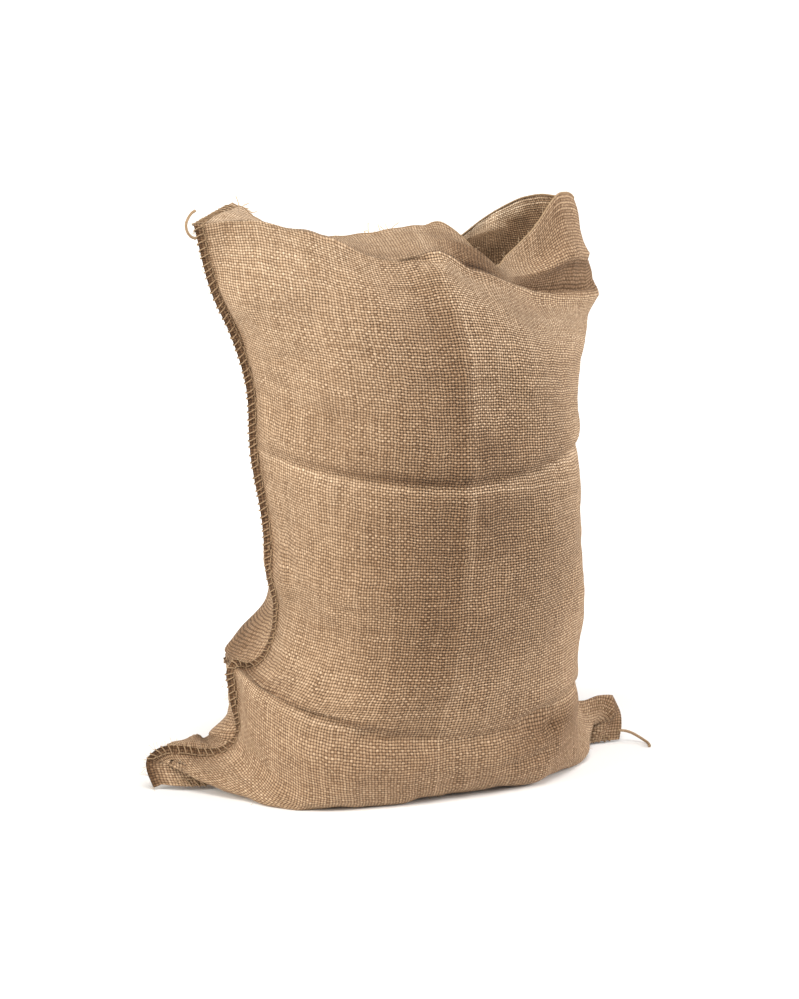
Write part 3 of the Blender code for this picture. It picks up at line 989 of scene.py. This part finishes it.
def add_sewing(grid, surface):
    """The threads of the side seam and of the bottom seam."""
    rows = grid[4:]
    side = seam_frame(rows[:, 0], rows[:, -1], rows[:, 1], rows[:, -2])
    front = slice(2 * COLUMNS_PER_QUARTER, 2, -1)
    back = slice(-1 - 2 * COLUMNS_PER_QUARTER, -3)
    bottom = seam_frame(grid[0][front], grid[0][back], grid[1][front], grid[1][back])
    return add_seam("side_seam", side, surface) + add_seam("bottom_seam", bottom, surface)


def loose_end(chance, start, way, length, curl):
    """A short yarn or fibre that leaves a point one way and wanders."""
    shares = np.linspace(0, 1, 5)[:, None]
    bend = chance.normal(size=3) * curl
    path = start + way * length * (shares - 0.06) + bend * length * shares**2
    path[:, 2] = np.maximum(path[:, 2], 2 * FLOOR_GAP)
    return path


def add_fibres(grid, surface):
    """Hairs that stand out from the yarns, thickest along the sewn edge and the mouth."""
    chance = np.random.default_rng(11)
    normals = grid_normals(grid)
    rows, columns = grid.shape[:2]
    paths = []
    for _ in range(FIBRES):
        row, column = chance.integers(0, rows), chance.integers(2, columns - 2)
        way = normals[row, column] * chance.uniform(0.2, 1.0)
        place = chance.random()
        if place < FIBRES_ON_SEAM:
            column = 0 if place < FIBRES_ON_SEAM / 2 else columns - 1
            way = unit(grid[row, column] - grid[row, 1]) * 0.6
        elif place < FIBRES_ON_SEAM + FIBRES_ON_MOUTH:
            row = rows - 1
            way = unit(grid[row, column] - grid[row - 1, column]) * 0.7
        way = unit(way + chance.normal(size=3) * 0.35)
        length = chance.uniform(*FIBRE_LENGTHS)
        paths.append(loose_end(chance, grid[row, column], way, length, 0.3))
    return thread_curve("loose_fibres", paths, FIBRE_DIAMETER, surface, 0)


def add_frayed_yarns(grid, surface):
    """Cut yarns that stand out of the mouth's corner and of its front edge."""
    chance = np.random.default_rng(5)
    paths = []
    for first, last, count, length in FRAYS:
        for station in np.linspace(first, last, count):
            column = np.searchsorted(stations(), station)
            start = grid[-1, column]
            way = unit(unit(start - grid[-3, column]) + chance.normal(size=3) * 0.3)
            paths.append(loose_end(chance, start, way, length * chance.uniform(0.5, 1.0), 0.4))
    frayed = thread_curve("frayed_yarns", paths, YARN_DIAMETER, surface, 1)
    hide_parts("mouth_corner_yarns")
    return frayed


def add_rim(grid, surface):
    """The selvedge's outermost, thicker yarn."""
    return thread_curve("mouth_selvedge", [grid[-1]], RIM_DIAMETER, surface, 1)


def add_tails(surface):
    """The two thread ends that hang free."""
    for name, (leaves, length, route) in TAILS.items():
        keys = [(i, *point) for i, point in enumerate(route)]
        path = curve_through(keys, np.linspace(0, len(route) - 1, 24))
        tail = thread_curve(name + "_end", [path], TAIL_DIAMETER, surface)
        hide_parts(name)


def camera_axes():
    """The camera's right, up and backward directions."""
    a, e = math.radians(CAMERA_AZIMUTH), math.radians(CAMERA_ELEVATION)
    back = Vector((math.sin(a) * math.cos(e), -math.cos(a) * math.cos(e), math.sin(e)))
    right = Vector((math.cos(a), math.sin(a), 0))
    return right, back.cross(right), back


def add_camera():
    """A long lens, a little to the left of the bag's front and above it."""
    right, up, back = camera_axes()
    data = bpy.data.cameras.new("camera")
    data.lens = CAMERA_LENS
    camera = bpy.data.objects.new("camera", data)
    bpy.context.scene.collection.objects.link(camera)
    target = right * VIEW_RIGHT + up * VIEW_UP
    camera.location = target + back * CAMERA_DISTANCE
    camera.rotation_euler = back.to_track_quat("Z", "Y").to_euler()
    bpy.context.scene.camera = camera


def add_soft_sun(name, azimuth, elevation, strength, colour):
    """A wide, even light. Its azimuth is 0 in front and positive to the right, in degrees."""
    data = bpy.data.lights.new(name, "SUN")
    data.angle = math.radians(SUN_SPREAD)
    data.energy = strength
    data.color = colour
    lamp = bpy.data.objects.new(name, data)
    bpy.context.scene.collection.objects.link(lamp)
    a, e = math.radians(azimuth), math.radians(elevation)
    towards = Vector((math.sin(a) * math.cos(e), -math.cos(a) * math.cos(e), math.sin(e)))
    lamp.rotation_euler = towards.to_track_quat("Z", "Y").to_euler()


def add_floor():
    """A pale floor that reaches out of sight."""
    surface = bpy.data.materials.new("pale_floor")
    surface.use_nodes = True
    shader = surface.node_tree.nodes["Principled BSDF"]
    shader.inputs["Base Color"].default_value = (0.93, 0.93, 0.93, 1)
    shader.inputs["Roughness"].default_value = 0.8
    reach = FLOOR_REACH
    corners = [(-reach, -reach, 0), (reach, -reach, 0), (reach, reach, 0), (-reach, reach, 0)]
    mesh_object("floor", corners, [(0, 1, 2, 3)], surface)


def add_studio():
    """The floor, the room and three soft lamps."""
    add_floor()
    add_surroundings()
    for name, lamp in LAMPS.items():
        add_soft_sun(name, *lamp)
    bpy.context.scene.view_settings.view_transform = "Standard"


def add_surroundings():
    """A white room: the camera sees it white, and it lights the bag less than the lamps do."""
    world = bpy.data.worlds.new("studio")
    world.use_nodes = True
    tree = world.node_tree
    background = tree.nodes["Background"]
    seen = tree.nodes.new("ShaderNodeLightPath").outputs["Is Camera Ray"]
    strength = tree.nodes.new("ShaderNodeMapRange")
    tree.links.new(seen, strength.inputs["Value"])
    strength.inputs["To Min"].default_value = ROOM_LIGHT
    strength.inputs["To Max"].default_value = 1.0
    tree.links.new(strength.outputs["Result"], background.inputs["Strength"])
    background.inputs["Color"].default_value = (1, 1, 1, 1)
    bpy.context.scene.world = world


add_camera()
thread = thread_material("jute_thread", THREAD_PALE, THREAD_DEEP)
fibre = thread_material("jute_fibre", FIBRE_PALE, FIBRE_DEEP)
add_tails(thread)
grid = worn_grid(sheet_grid())
cloth = add_cloth(grid)
trimmings = add_sewing(grid, thread)
trimmings += [add_rim(grid, thread), add_fibres(grid, fibre), add_frayed_yarns(grid, fibre)]
add_studio()
